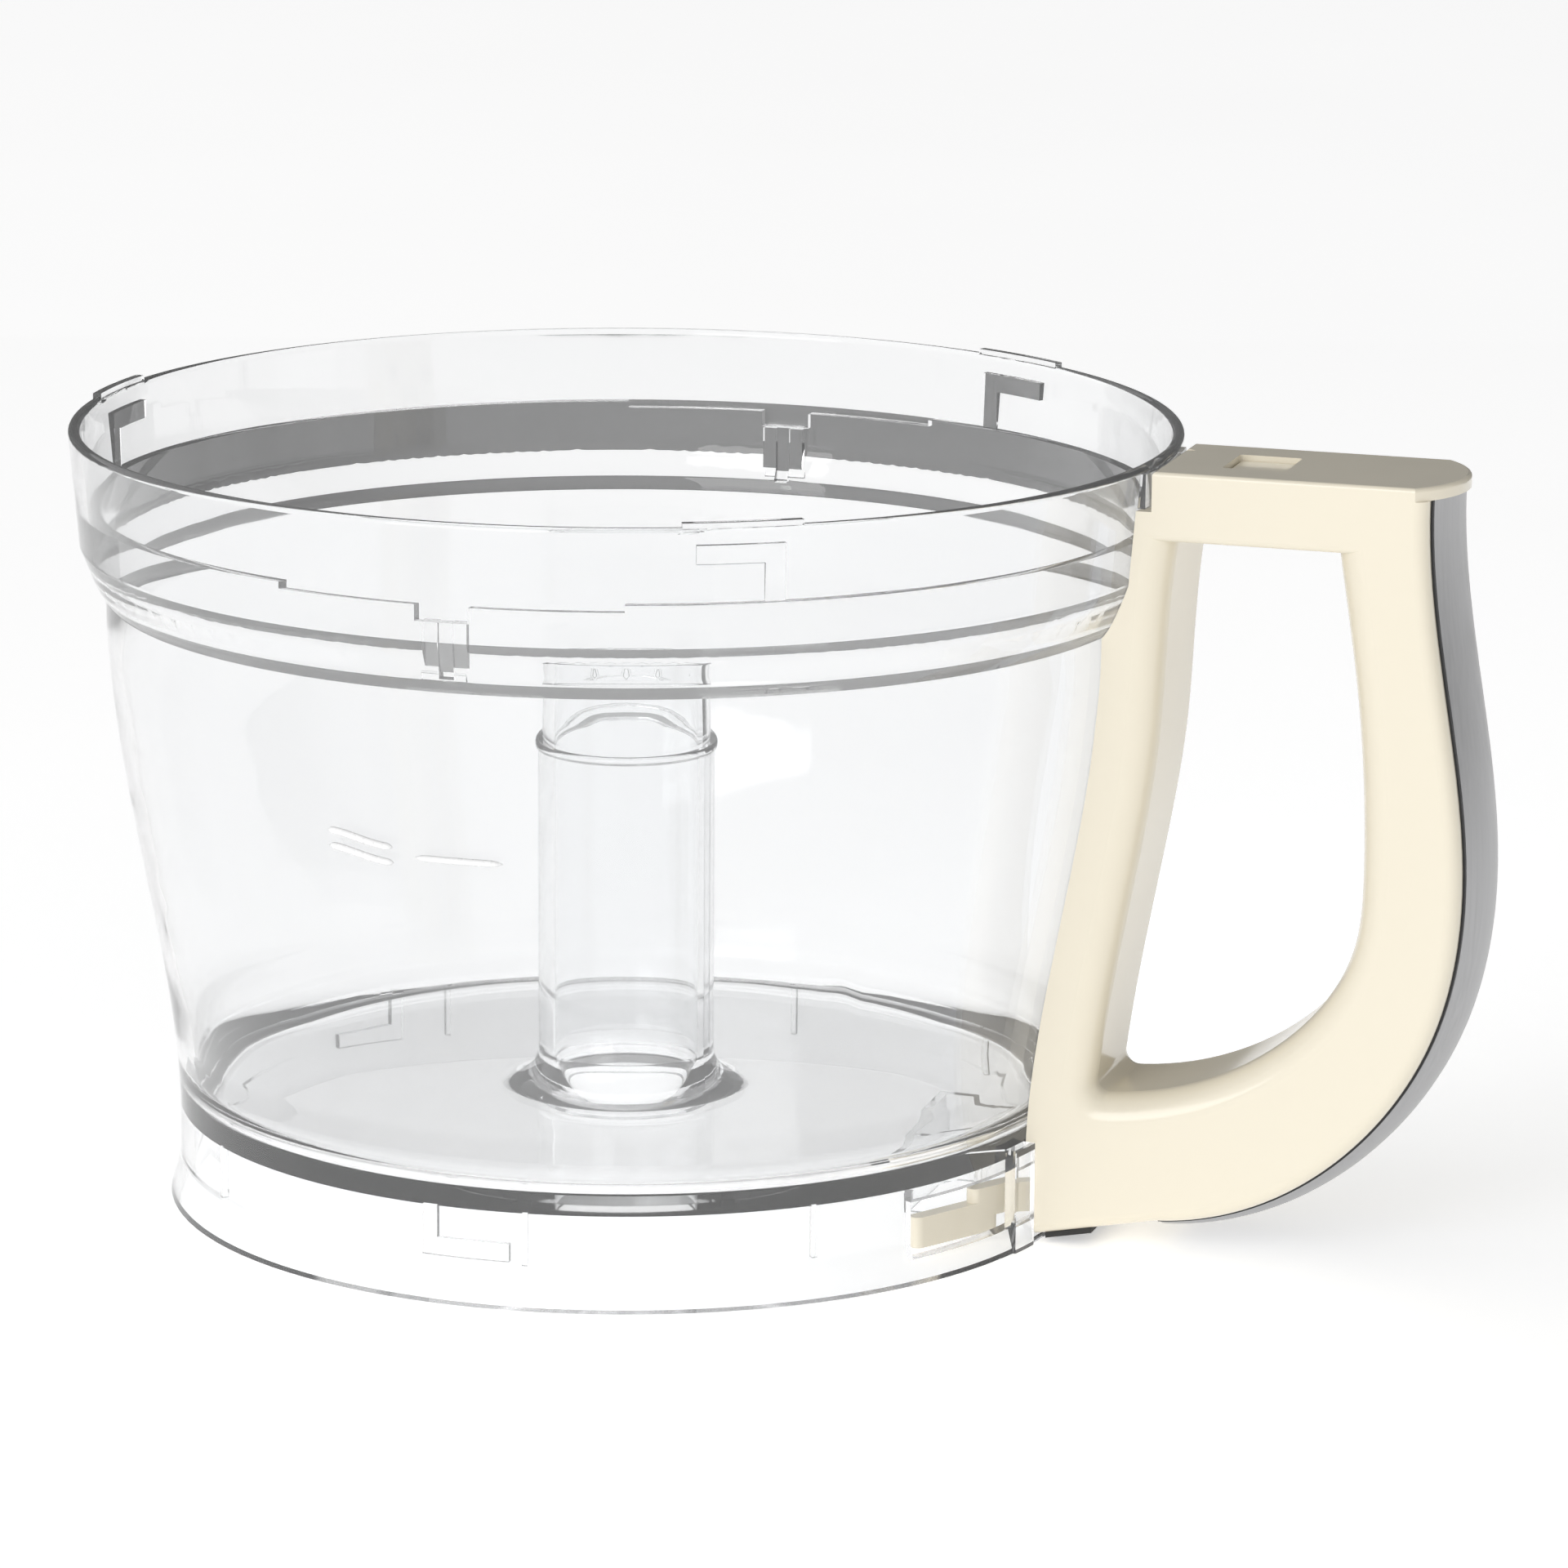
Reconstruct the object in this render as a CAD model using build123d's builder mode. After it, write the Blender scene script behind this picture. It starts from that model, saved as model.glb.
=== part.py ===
from build123d import *
import os
from math import atan, atan2, cos, degrees, hypot, pi, sin

os.makedirs("parts", exist_ok=True)

# A clear food processor bowl with a cream handle, in millimetres.
# The origin is on the bowl's axis at the plane it stands on. +Z is up and the handle points along +X.

# ---------------------------------------------------------------- bowl sizes
rim_r = 106.1  # outside radius at the rim
rim_z = 150.4  # height of the rim
base_r = 86.4  # outside radius at the floor
foot_flare = 2.0  # how much the skirt widens at the foot
flare_z = 7.5  # height of the skirt's flare
floor_z = 17.6  # underside of the floor
floor_t = 2.9  # thickness of the floor
floor_corner = 7.0  # radius between floor and wall
wall = 2.6  # wall below the ledge, and the skirt
band_wall = 2.2  # wall above the ledge
rim_round = 1.1  # height of the rounded rim
band_drop = 22.2  # from the rim down to the bottom of the band
band_taper = 1.8  # radius lost from the rim to the bottom of the band
belly_drop = 32.4  # from the rim down to the bottom of the shoulder
belly_taper = 6.7  # radius lost from the rim to the bottom of the shoulder
ledge_drop = 14.4  # from the rim down to the ledge that the lid sits on
ledge_w = 2.3  # width of the ledge
side_bias = 0.93  # shapes the curve of the side
side_steps = 8  # points along the curve of the side
shoulder_power = 0.75  # shapes the curve of the shoulder
shoulder_steps = 4

belly_z = rim_z - belly_drop
belly_r = rim_r - belly_taper
band_z = rim_z - band_drop
band_r = rim_r - band_taper
ledge_z = rim_z - ledge_drop
floor_top = floor_z + floor_t

# centre tube
bore_r = 13.9  # bore for the drive shaft
tube_wall = 3.1
tube_z = 103.0  # top of the tube
tube_step_z = 89.0  # height of the step in the tube
tube_step = 0.8  # how much the tube narrows above the step
tube_bead = 0.6  # height of the bead at the step
tube_bead_h = 1.6
tube_flare = 7.5  # radius between tube and floor
tube_round = 0.7
hub_depth = 3.0  # collar round the bore under the floor

# lid tracks, rim lugs and ledge notches
lid_angles = (-60, 60, 180)
lug_sweep = 12
lug_h = 0.8
track_t = 1.2  # how far a track stands in from the band
track_w = 3.5  # width of a track's bar
track_top = 3.5  # from the rim down to a track's bar
bar_sweep = 9
leg_sweep = 2.1
notch_angles = (-90, 90)
notch_sweep = 37
notch_depth = 1.3
slot_sweep = 5.6
slot_depth = 3.0
boss_sweep = 4.8
boss_h = 11.0
boss_t = 1.6
groove_sweep = 1.6

# skirt
skirt_track_angles = (-97.6, 22.4, 142.4)
skirt_track_sweep = 11.6
skirt_track_w = 3.5
skirt_track_z = 8.0
skirt_leg_sweep = 2.0
skirt_track_t = 1.2
skirt_rib_angles = (-135, -84, -47, 47, 84, 135)
skirt_rib_sweep = 0.7
chamber_x = 60.0  # inner end of the clear chamber under the floor
chamber_length = 15.0
chamber_w = 26.4
chamber_wall = 1.6
chamber_bottom = 3.0
window_start = -33.5  # window in the skirt for the lever
window_end = -3.0
window_bottom = 4.6
window_top = 15.5
pad_start = 10.9  # clear pads on the skirt beside the handle's foot
pad_end = 15.5
pad_t = 2.5
pad_top = 20.0

# ---------------------------------------------------------------- handle sizes
handle_w = 31.3
reach = 61.1  # from the rim's radius to the outermost cream surface
bowl_gap = 0.15  # gap between the handle and the bowl
cover_t = 2.5
cover_drop = 0.4  # from the rim down to the cover's top
rim_clear = 1.3  # gap between the rim and the upper end of the handle
bar_t = 10.5  # depth of the top bar under the cover
strut_t = 10.2  # depth of the strut along the bowl
strut_lean = 0.12  # slope of the strut's front above the shoulder
shell_wall = 2.2
strut_wall = 1.5  # wall between the rod's channel and the finger opening
grip_wall = 3.2
opening_round = 5.5  # rounding of the edges round the finger opening
opening_reach = 6.0  # how far the loop's opening runs up behind the top bar
bar_round = 1.2  # rounding of the top bar's lower edges
bar_end = 43.9  # from the rim's radius to the end of the top bar inside the grip
opening_corner = 2.5  # rounding of the opening's three corners
outer_round = 2.6  # rounding of the outer edges
hook_step = 7.9  # from the rim down to the step that fits round the rim's flange
foot_z = 1.6  # lowest point of the handle's foot
foot_overlap = 1.8  # how far the foot starts outside the skirt
core_x = 70.0  # the handle is drawn from here and then cut back to the bowl

cover_top = rim_z - cover_drop
bar_top = cover_top - cover_t
opening_top = bar_top - bar_t
hook_z = rim_z - hook_step
hook_x = rim_r + rim_clear

# share of the reach and of the rim's height at the points of the outer line
outer_shape = ((0.872, 0.998), (0.951, 0.689), (1.0, 0.492), (0.91, 0.295), (0.568, 0.116), (0.069, 0.04))
# the same for the finger opening, from its lower corner round to the top
opening_shape = ((0.203, 0.223), (0.494, 0.299), (0.661, 0.406), (0.687, 0.505), (0.653, 0.738))
opening_top_share = 0.589
loop_top_share = 0.575
strut_heights = (0.196, 0.35, 0.5, 0.65, 0.78)

# trim and its carrier
trim_half = 11.5
trim_lift = 0.5  # how far the trim's edge stands above the cream
trim_crown = 3.4  # how far the middle of the trim stands above the cream
trim_t = 1.3
trim_lip = 0.9  # how far the trim's folded edge goes below the cream
carrier_half = 12.4
carrier_rim = 0.45  # how far the carrier's rim stands above the cream
carrier_depth = 1.6
carrier_seat = 1.0  # depth of the channel for the trim's folded edge
carrier_shoulder = -0.6
groove_gap = 0.1
cover_gap = 0.15
screw_shares = (0.17, 0.5, 0.8)
web_w = 7.0
screw_r = 1.25
screw_head_r = 2.6
screw_head_t = 1.3
screw_head_base = 0.2
screw_length = 9.0
pilot_gap = 0.03
cell_start = 0.12
cell_end = 0.92

# plunger and top cover
slot_x = 18.4  # from the rim's radius to the middle of the slot
slot_length = 12.0
slot_w = 14.0
slot_gap = 0.2
plunger_drop = 1.1  # from the cover's top down to the plunger's head
plunger_travel = 3.0
flange_w = 1.8
flange_t = 1.6
flange_gap = 0.2
plunger_depth = 4.9  # from the cover's underside down to the plunger's underside
arm_w = 6.0
arm_t = 3.0
bar_floor = 2.2
cavity_half = 11.0
cavity_length = 41.4
cavity_wall = 0.9
rail_t = 1.2
rail_h = 3.0
edge_round = 0.8
cover_overhang = 4.3  # how far the cover reaches past the top of the outer line
cover_bow = 6.7  # depth of the cover's curved end
notch_h = 1.3  # small notch at the cover's bowl end
notch_w = 2.2
notch_half = 2.0
notch_y = 8.4

# push rod, its guides and its spring
rod_r = 1.4
rod_top_gap = 0.8
rod_clear = 0.9
rod_offset_top = 2.6  # rod axis outside the bowl at the bottom of the band
rod_offset_low = 5.7  # rod axis outside the bowl just above the floor
rod_low_z = 30.0
guide_gap = 0.06
strut_half = 9.0
strut_half_top = 6.0
upper_guide_z = 108.0
guide_h = 5.0
guide_clear = 1.2
collar_z = 44.0
collar_r = 2.3
collar_t = 1.5
spring_wire = 0.3
spring_mean_r = 1.9
spring_turns = 9
tip_z = 8.4
tip_h = 6.6
tip_r = 1.1
tip_slope = 1 / 4
tip_socket = 3.2

# foot lever, its pin and its spring
pivot_x = 5.1  # from the base radius to the pivot
pivot_y = -7.0
pin_r = 1.5
pin_gap = 0.05
pin_bottom = 3.0
hub_r = 3.4
arm_bottom = 5.4
arm_top = 11.2
blade_bottom = 2.4
blade_top = 8.4
lever_t = 3.0
bend = (-5.4, -12.5)  # from the base radius, and across
blade_end = (-17.4, -32.5)
step_share = 0.62
cut_share = 0.78
cam_pad_r = 1.6
cam_pad_h = 1.8
cam_pad_z = 8.6
cam_pad_gap = 0.25
foot_chamber_x = 10.8  # from the base radius to the end of the chamber in the foot
foot_chamber_y = (-14.0, 5.4)
foot_floor = 5.0
foot_chamber_top = 24.0
foot_guide_z = 15.4
foot_guide_clear = 2.0
seal_t = 1.6
seal_r = 2.8
seal_lift = 0.45
coil_turns = 4
coil_wire = 0.35
coil_mean_r = 2.25

# fixing to the bowl
tongue_y = (7.6, 13.4)
tongue_end = 4.1
tongue_z = (12.4, 8.8)  # from the rim down to the tongue's bottom and top
tongue_gap = 0.15
rim_flange_sweep = 16
rim_flange_t = 1.0
foot_boss_y = (6.8, 13.2)
foot_boss_x = 10.1
foot_boss_z = (6.0, 19.5)
foot_screw_x = 5.6
foot_screw_y = 10.0
foot_screw_r = 1.4
foot_screw_head_r = 2.7
foot_screw_head_t = 1.6
foot_screw_head_z = 4.7
foot_screw_length = 13.0
foot_pad_t = 1.1
foot_pad_length = 9.0
foot_pad_inset = 2.0


# ---------------------------------------------------------------- shared geometry
seat_half = trim_half + groove_gap
core_half = trim_half - trim_t - groove_gap


def bowl_radius(z):
    """Outside radius of the bowl at a height."""
    if z <= floor_z:
        return base_r
    if z <= belly_z:
        share = ((z - floor_z) / (belly_z - floor_z)) ** side_bias
        return base_r + (belly_r - base_r) * share**2 * (3 - 2 * share)
    if z <= band_z:
        share = (z - belly_z) / (band_z - belly_z)
        return belly_r + (band_r - belly_r) * share**shoulder_power
    return band_r + (rim_r - band_r) * (z - band_z) / (rim_z - band_z)


def side_line(gap):
    """Points of the side from the floor to the bottom of the shoulder, moved out by gap."""
    heights = [floor_z + (belly_z - floor_z) * step / side_steps for step in range(side_steps + 1)]
    return [(bowl_radius(z) + gap, z) for z in heights]


def shoulder_line(gap):
    """Points of the shoulder, moved out by gap."""
    heights = [belly_z + (band_z - belly_z) * step / shoulder_steps for step in range(shoulder_steps + 1)]
    return [(bowl_radius(z) + gap, z) for z in heights]


def ring_sector(z, r_in, r_out, start, sweep_angle):
    """A flat piece of a ring at height z, in degrees from +X."""
    with BuildSketch(Plane.XY.offset(z)) as sector:
        with BuildLine():
            inner = CenterArc((0, 0), r_in, start, sweep_angle)
            outer = CenterArc((0, 0), r_out, start, sweep_angle)
            Line(inner @ 0, outer @ 0)
            Line(inner @ 1, outer @ 1)
        make_face()
    return sector.sketch


def box_between(low, high):
    """A box given by its lowest and highest corners."""
    with BuildPart() as block:
        with BuildSketch(Plane.XY.offset(low[2])):
            with Locations(((low[0] + high[0]) / 2, (low[1] + high[1]) / 2)):
                Rectangle(high[0] - low[0], high[1] - low[1])
        extrude(amount=high[2] - low[2])
    return block.part


def moved_points(curve, start, end, count, distance):
    """Points along a curve, moved to its left by distance."""
    points = []
    for step in range(count):
        share = start + (end - start) * step / (count - 1)
        place = curve @ share
        heading = curve % share
        points.append((place.X - heading.Y * distance, place.Y + heading.X * distance))
    return points


def strut_front_x(z):
    """Front of the strut, on the finger side, at a height."""
    if z <= belly_z:
        return bowl_radius(z) + strut_t
    return belly_r + strut_t + strut_lean * (z - belly_z)


strut_line = [(strut_front_x(rim_z * share), rim_z * share) for share in strut_heights]
loop_top = opening_top + opening_reach
strut_line.append((strut_front_x(loop_top), loop_top))
outer_line = [(rim_r + reach * x, rim_z * z) for x, z in outer_shape]
grip_line = [strut_line[0]] + [(rim_r + reach * x, rim_z * z) for x, z in opening_shape]
grip_line.append((rim_r + reach * opening_top_share, opening_top))
grip_line.append((rim_r + reach * loop_top_share, loop_top))
outer_curve = Spline(*outer_line)
opening_curve = Spline(*grip_line)

# the push rod leans with the strut
rod_high_x = bowl_radius(band_z) + rod_offset_top
rod_low_x = bowl_radius(rod_low_z) + rod_offset_low
rod_lean = (rod_high_x - rod_low_x) / (band_z - rod_low_z)
rod_angle = atan(rod_lean)
rod_up = (sin(rod_angle), 0, cos(rod_angle))
rod_across = (cos(rod_angle), 0, -sin(rod_angle))


def rod_x(z):
    """Where the rod's axis is at a height."""
    return rod_low_x + rod_lean * (z - rod_low_z)


def rod_plane(z):
    """The plane square to the rod at a height."""
    return Plane(origin=(rod_x(z), 0, z), x_dir=rod_across, z_dir=rod_up)


def curve_plane(share, lift):
    """The plane square to the outer line's surface, at a share of its length, looking outwards."""
    place = outer_curve @ share
    heading = outer_curve % share
    outward = (-heading.Y, 0, heading.X)
    origin = (place.X + outward[0] * lift, 0, place.Y + outward[2] * lift)
    return Plane(origin=origin, x_dir=(0, 1, 0), z_dir=outward)


def section_plane():
    """The plane across the start of the outer line: x across the handle, y outwards."""
    place = outer_curve @ 0
    heading = outer_curve % 0
    return Plane(origin=(place.X, 0, place.Y), x_dir=(0, 1, 0), z_dir=(heading.X, 0, heading.Y))


# ---------------------------------------------------------------- bowl
tube_r = bore_r + tube_wall
neck_r = tube_r - tube_step
corner_z = floor_top + floor_corner
corner_r = bowl_radius(corner_z) - wall
ledge_r = bowl_radius(ledge_z) - band_wall - ledge_w
inside_heights = [corner_z + (belly_z - corner_z) * step / side_steps for step in range(side_steps, -1, -1)]
inside_line = [(bowl_radius(z) - wall, z) for z in inside_heights]
diagonal = sin(pi / 4)

with BuildPart() as work_bowl:
    with BuildSketch(Plane.XZ):
        with BuildLine():
            foot_out = Line((base_r + foot_flare, 0), (base_r, flare_z))
            skirt_out = Line(foot_out @ 1, (base_r, floor_z))
            side_out = Spline(*side_line(0), tangents=((0, 1), (0, 1)))
            shoulder_out = Spline(*shoulder_line(0))
            band_out = Line(shoulder_out @ 1, (rim_r, rim_z - rim_round))
            rim_top = ThreePointArc(band_out @ 1, (rim_r - band_wall / 2, rim_z),
                                    (rim_r - band_wall, rim_z - rim_round))
            band_in = Line(rim_top @ 1, (bowl_radius(ledge_z) - band_wall, ledge_z))
            ledge_face = Polyline(band_in @ 1, (ledge_r, ledge_z), (ledge_r, band_z))
            shoulder_in = Spline(ledge_face @ 1, (belly_r - wall, belly_z), tangents=((0, -1), (0, -1)))
            side_in = Spline(*inside_line, tangents=((0, -1), (0, -1)))
            corner = ThreePointArc(side_in @ 1,
                                   (corner_r - floor_corner * (1 - diagonal), corner_z - floor_corner * diagonal),
                                   (corner_r - floor_corner, floor_top))
            floor_in = Line(corner @ 1, (tube_r + tube_flare, floor_top))
            flare = ThreePointArc(floor_in @ 1,
                                  (tube_r + tube_flare * (1 - diagonal), floor_top + tube_flare * (1 - diagonal)),
                                  (tube_r, floor_top + tube_flare))
            bead_low = Line(flare @ 1, (tube_r, tube_step_z - tube_bead_h))
            bead = ThreePointArc(bead_low @ 1, (tube_r + tube_bead, tube_step_z - tube_bead_h / 2),
                                 (tube_r, tube_step_z))
            neck = Polyline(bead @ 1, (neck_r, tube_step_z), (neck_r, tube_z - tube_round))
            neck_top = ThreePointArc(neck @ 1,
                                     (neck_r - tube_round * (1 - diagonal), tube_z - tube_round * (1 - diagonal)),
                                     (neck_r - tube_round, tube_z))
            Polyline(neck_top @ 1, (bore_r, tube_z), (bore_r, floor_z - hub_depth),
                     (tube_r, floor_z - hub_depth), (tube_r, floor_z), (base_r - wall, floor_z),
                     (base_r - wall, flare_z), (base_r + foot_flare - wall, 0), foot_out @ 0)
        make_face()
    revolve(axis=Axis.Z)

    # rim lugs and lid tracks
    for angle in lid_angles:
        extrude(ring_sector(rim_z - rim_round, rim_r - band_wall + rim_round / 4, rim_r - rim_round / 4,
                            angle - lug_sweep / 2, lug_sweep), amount=rim_round + lug_h)
        track_z = rim_z - track_top
        track_in = bowl_radius(track_z) - band_wall - track_t
        track_out = track_in + track_t + band_wall / 2
        extrude(ring_sector(track_z - track_w, track_in, track_out, angle - bar_sweep / 2, bar_sweep),
                amount=track_w)
        extrude(ring_sector(ledge_z, track_in, track_out, angle + bar_sweep / 2 - leg_sweep, leg_sweep),
                amount=track_z - ledge_z)

    # lower stretches of the ledge, each with a notch over a grooved boss
    for angle in notch_angles:
        notch_out = bowl_radius(ledge_z) - band_wall
        extrude(ring_sector(ledge_z - notch_depth - slot_depth - boss_h, ledge_r - boss_t, ledge_r + boss_t,
                            angle - boss_sweep / 2, boss_sweep), amount=boss_h)
        extrude(ring_sector(ledge_z - notch_depth - slot_depth - boss_h, ledge_r - 2 * boss_t,
                            ledge_r - boss_t / 2, angle - groove_sweep / 2, groove_sweep),
                amount=boss_h, mode=Mode.SUBTRACT)
        extrude(ring_sector(ledge_z - notch_depth, ledge_r - boss_t, notch_out, angle - notch_sweep / 2,
                            notch_sweep), amount=notch_depth, mode=Mode.SUBTRACT)
        extrude(ring_sector(ledge_z - notch_depth - slot_depth, ledge_r - boss_t, notch_out,
                            angle - slot_sweep / 2, slot_sweep), amount=slot_depth, mode=Mode.SUBTRACT)

    # tracks and ribs inside the skirt
    skirt_in_r = base_r - wall
    for angle in skirt_track_angles:
        extrude(ring_sector(skirt_track_z, skirt_in_r - skirt_track_t, skirt_in_r + wall / 2, angle,
                            skirt_track_sweep), amount=skirt_track_w)
        extrude(ring_sector(skirt_track_z, skirt_in_r - skirt_track_t, skirt_in_r + wall / 2, angle,
                            skirt_leg_sweep), amount=floor_z - skirt_track_z)
    for angle in skirt_rib_angles:
        extrude(ring_sector(flare_z, skirt_in_r - skirt_track_t, skirt_in_r + wall / 2,
                            angle - skirt_rib_sweep / 2, skirt_rib_sweep), amount=floor_z - flare_z)

    # clear chamber under the floor
    with BuildSketch(Plane.XY.offset(chamber_bottom)):
        with Locations((chamber_x + chamber_length / 2, 0)):
            Rectangle(chamber_length, chamber_w)
            Rectangle(chamber_length - 2 * chamber_wall, chamber_w - 2 * chamber_wall, mode=Mode.SUBTRACT)
    extrude(amount=floor_z - chamber_bottom)

    # window for the lever, and the clear pads beside the handle's foot
    extrude(ring_sector(window_bottom, skirt_in_r - wall, base_r + wall, window_start,
                        window_end - window_start), amount=window_top - window_bottom, mode=Mode.SUBTRACT)
    for start in (pad_start, -pad_end):
        extrude(ring_sector(0, base_r, base_r + pad_t, start, pad_end - pad_start), amount=pad_top)

    # flange and tongues that hold the top of the handle, and the boss for the foot screw
    extrude(ring_sector(hook_z + bowl_gap * 2, rim_r - band_wall / 2, rim_r + rim_flange_t,
                        -rim_flange_sweep / 2, rim_flange_sweep),
            amount=rim_z - rim_round - hook_z - bowl_gap * 2)
    tongue_start = band_r - band_wall / 2
    for low_y, high_y in (tongue_y, (-tongue_y[1], -tongue_y[0])):
        add(box_between((tongue_start, low_y, rim_z - tongue_z[0]),
                        (rim_r + tongue_end, high_y, rim_z - tongue_z[1])))
    add(box_between((base_r - wall / 2, foot_boss_y[0], foot_boss_z[0]),
                    (base_r + foot_boss_x, foot_boss_y[1], foot_boss_z[1])))
    with BuildSketch(Plane.XY.offset(foot_boss_z[0])):
        with Locations((base_r + foot_screw_x, foot_screw_y)):
            Circle(foot_screw_r)
    extrude(amount=foot_screw_head_z + foot_screw_length - foot_boss_z[0], mode=Mode.SUBTRACT)

work_bowl.part.label = "work_bowl"
export_step(work_bowl.part, "parts/work_bowl.step")

# the space that the bowl takes out of the handle
with BuildPart() as bowl_space:
    with BuildSketch(Plane.XZ):
        with BuildLine():
            foot_out = Line((base_r + foot_flare + bowl_gap, 0), (base_r + bowl_gap, flare_z))
            skirt_out = Line(foot_out @ 1, (base_r + bowl_gap, floor_z))
            side_out = Spline(*side_line(bowl_gap), tangents=((0, 1), (0, 1)))
            shoulder_out = Spline(*shoulder_line(bowl_gap))
            band_out = Line(shoulder_out @ 1, (rim_r + bowl_gap, rim_z))
            Polyline(band_out @ 1, (0, rim_z), (0, 0), foot_out @ 0)
        make_face()
    revolve(axis=Axis.Z)

# ---------------------------------------------------------------- handle shell
foot_x = base_r + foot_overlap
foot_end = outer_curve @ 1
pivot = (base_r + pivot_x, pivot_y)
bar_cavity_x = hook_x + cavity_wall
slot_middle = rim_r + slot_x
chamber_end_x = base_r + foot_chamber_x
foot_screw_place = (base_r + foot_screw_x, foot_screw_y)


def foot_line_z(x):
    """Height of the handle's underside near the foot."""
    return foot_z + (foot_end.Y - foot_z) * (x - foot_x) / (foot_end.X - foot_x)


def outer_path():
    """The handle's outer line, in the plane of the handle."""
    with BuildLine(Plane.XZ) as path:
        Spline(*outer_line)
    return path.line


with BuildSketch() as opening:
    with BuildLine():
        strut_edge = Spline(*strut_line)
        grip_edge = Spline(*grip_line)
        Line(strut_edge @ 1, grip_edge @ 1)
    make_face()
    fillet(opening.vertices(), radius=opening_corner)

# the straight bar across the top of the loop
with BuildPart() as top_bar:
    add(box_between((core_x, -handle_w / 2, opening_top), (rim_r + bar_end, handle_w / 2, bar_top)))
    fillet(top_bar.edges().filter_by(Axis.X).group_by(Axis.Z)[0], radius=bar_round)

with BuildPart() as handle_shell:
    with BuildSketch(Plane.XZ):
        with BuildLine():
            outer_edge = Spline(*outer_line)
            Polyline(outer_edge @ 1, (foot_x, foot_z), (core_x, foot_z), (core_x, outer_line[0][1]),
                     outer_edge @ 0)
        make_face()
        add(opening.sketch, mode=Mode.SUBTRACT)
    extrude(amount=handle_w / 2, both=True)
    for side in (0, -1):
        face = handle_shell.faces().sort_by(Axis.Y)[side]
        fillet(face.inner_wires().edges(), radius=opening_round)
    for side in (0, -1):
        face = handle_shell.faces().sort_by(Axis.Y)[side]
        fillet(face.outer_wire().edges().filter_by(lambda edge: edge.center().X > base_r), radius=outer_round)
    add(top_bar.part)
    split(bisect_by=Plane.XY.offset(bar_top), keep=Keep.BOTTOM)
    add(bowl_space.part, mode=Mode.SUBTRACT)
    add(box_between((core_x, -handle_w, hook_z), (hook_x, handle_w, rim_z)), mode=Mode.SUBTRACT)

    # groove for the trim carrier
    with BuildSketch(section_plane()):
        with Locations((0, (outer_round - carrier_depth) / 2)):
            Rectangle(2 * (carrier_half + groove_gap), outer_round + carrier_depth)
    sweep(path=outer_path(), mode=Mode.SUBTRACT)

    # hollow of the grip, in cells between the webs that take the screws
    with BuildSketch(Plane.XZ):
        with BuildLine():
            cell_out = Spline(*moved_points(outer_curve, cell_start, cell_end, 7, -carrier_depth / 2))
            cell_in = Spline(*moved_points(opening_curve, 1 - cell_start, cell_start, 7, -grip_wall))
            Line(cell_out @ 0, cell_in @ 0)
            Line(cell_out @ 1, cell_in @ 1)
        make_face()
        for share in screw_shares:
            place = outer_curve @ share
            heading = outer_curve % share
            turn = degrees(atan2(heading.Y, heading.X))
            with Locations(Location((place.X, place.Y, 0), (0, 0, turn))):
                Rectangle(web_w, reach, mode=Mode.SUBTRACT)
    extrude(amount=strut_half, both=True, mode=Mode.SUBTRACT)
    for share in screw_shares:
        with BuildSketch(curve_plane(share, -carrier_depth - screw_length)):
            Circle(screw_r + pilot_gap)
        extrude(amount=screw_length + groove_gap, mode=Mode.SUBTRACT)

    # hollow of the top bar, and the pocket at the rod's upper end
    add(box_between((bar_cavity_x, -cavity_half, opening_top + bar_floor),
                    (bar_cavity_x + cavity_length, cavity_half, rim_z)), mode=Mode.SUBTRACT)
    add(box_between((rod_x(opening_top) - rod_r - rod_clear, -strut_half_top, opening_top - rod_clear),
                    (bar_cavity_x + shell_wall, strut_half_top, hook_z - bowl_gap)), mode=Mode.SUBTRACT)

    # channel down the strut for the rod, open towards the bowl
    for low_z, high_z, half in ((foot_chamber_top, belly_z, strut_half),
                                (belly_z, opening_top, strut_half_top)):
        heights = [low_z + (high_z - low_z) * step / side_steps for step in range(side_steps + 1)]
        with BuildSketch(Plane.XZ):
            with BuildLine():
                front = Spline(*[(strut_front_x(z) - strut_wall, z) for z in heights])
                Polyline(front @ 1, (core_x, high_z), (core_x, low_z), front @ 0)
            make_face()
        extrude(amount=half, both=True, mode=Mode.SUBTRACT)

    # chamber in the foot for the lever, and the hole for its pin
    add(box_between((core_x, foot_chamber_y[0], foot_floor),
                    (chamber_end_x, foot_chamber_y[1], foot_chamber_top)), mode=Mode.SUBTRACT)
    with BuildSketch(Plane.XY.offset(pin_bottom)):
        with Locations(pivot):
            Circle(pin_r)
    extrude(amount=foot_floor - pin_bottom, mode=Mode.SUBTRACT)

    # pockets for the bowl's tongues and its screw boss
    for low_y, high_y in (tongue_y, (-tongue_y[1], -tongue_y[0])):
        add(box_between((core_x, low_y - tongue_gap, rim_z - tongue_z[0] - tongue_gap),
                        (rim_r + tongue_end + tongue_gap, high_y + tongue_gap,
                         rim_z - tongue_z[1] + tongue_gap)), mode=Mode.SUBTRACT)
    add(box_between((core_x, foot_boss_y[0] - tongue_gap, foot_boss_z[0] - tongue_gap),
                    (base_r + foot_boss_x + tongue_gap, foot_boss_y[1] + tongue_gap,
                     foot_boss_z[1] + tongue_gap)), mode=Mode.SUBTRACT)
    with BuildSketch():
        with Locations(foot_screw_place):
            Circle(foot_screw_head_r + tongue_gap)
    extrude(amount=foot_screw_head_z, mode=Mode.SUBTRACT)
    with BuildSketch():
        with Locations(foot_screw_place):
            Circle(foot_screw_r + tongue_gap)
    extrude(amount=foot_boss_z[0], mode=Mode.SUBTRACT)

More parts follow.
